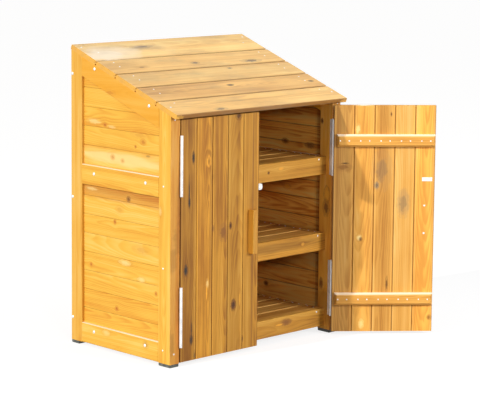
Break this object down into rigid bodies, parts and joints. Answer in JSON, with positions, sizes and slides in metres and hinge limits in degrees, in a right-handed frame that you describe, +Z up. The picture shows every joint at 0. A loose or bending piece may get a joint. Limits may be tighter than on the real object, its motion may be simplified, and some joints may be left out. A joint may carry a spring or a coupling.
{
  "type": "garden storage cabinet",
  "caption": "Lean-to wooden garden storage cabinet with a sloped boarded roof, slatted shelves and a pair of hinged plank doors.",
  "frame": {"origin": "on the ground, under the middle of the frame's footprint", "axes": "+X right as seen from the front, +Y back, +Z up"},
  "size_m": [1.141, 0.8552, 1.1414],
  "materials": {
    "stained_wood": "honey-coloured stain",
    "roof_wood": "weathered pale stain",
    "zinc": "bright zinc plate",
    "foot_plastic": "matte",
    "catch_plastic": "satin white"
  },
  "bodies": {
    "carcass": {"back_boards": "stained_wood", "back_bottom_rail": "stained_wood", "back_mid_rail": "stained_wood", "back_nails": "zinc", "back_top_rail": "stained_wood", "frame_screws": "zinc", "front_left_foot": "foot_plastic", "front_left_post": "stained_wood", "front_right_foot": "foot_plastic", "front_right_post": "stained_wood", "hinge_post_screws": "zinc", "left_bottom_rail": "stained_wood", "left_hinge_pins": "zinc", "left_hinge_post_leaves": "zinc", "left_mid_rail": "stained_wood", "left_side_boards": "stained_wood", "left_top_rail": "stained_wood", "lower_shelf_apron": "stained_wood", "lower_shelf_cleats": "stained_wood", "lower_shelf_slats": "stained_wood", "magnetic_catches": "catch_plastic", "middle_shelf_apron": "stained_wood", "middle_shelf_cleats": "stained_wood", "middle_shelf_slats": "stained_wood", "rear_left_foot": "foot_plastic", "rear_left_post": "stained_wood", "rear_right_foot": "foot_plastic", "rear_right_post": "stained_wood", "right_bottom_rail": "stained_wood", "right_hinge_pins": "zinc", "right_hinge_post_leaves": "zinc", "right_mid_rail": "stained_wood", "right_side_boards": "stained_wood", "right_top_rail": "stained_wood", "roof_board_1": "roof_wood", "roof_board_2": "roof_wood", "roof_board_3": "roof_wood", "roof_board_4": "roof_wood", "roof_board_5": "roof_wood", "roof_left_batten": "stained_wood", "roof_nails": "zinc", "roof_right_batten": "stained_wood", "shelf_nails": "zinc", "upper_shelf_apron": "stained_wood", "upper_shelf_cleats": "stained_wood", "upper_shelf_slats": "stained_wood"},
    "left_door": {"left_door_boards": "stained_wood", "left_door_fasteners": "zinc", "left_door_handle": "stained_wood", "left_door_keeper": "zinc", "left_door_lower_ledge": "stained_wood", "left_door_upper_ledge": "stained_wood", "left_hinge_door_leaves": "zinc"},
    "right_door": {"right_door_boards": "stained_wood", "right_door_fasteners": "zinc", "right_door_handle": "stained_wood", "right_door_keeper": "zinc", "right_door_lower_ledge": "stained_wood", "right_door_upper_ledge": "stained_wood", "right_hinge_door_leaves": "zinc"}
  },
  "joints": [
    {"name": "left_door_hinge", "type": "hinge", "parent": "carcass", "child": "left_door", "pos_m": [-0.3976, -0.2859, 0.4595], "axis": [0, 0, -1], "range_deg": [0, 175]},
    {"name": "right_door_hinge", "type": "hinge", "parent": "carcass", "child": "right_door", "pos_m": [0.3976, -0.2859, 0.4595], "axis": [0, 0, 1], "range_deg": [-139, 36]}
  ]
}
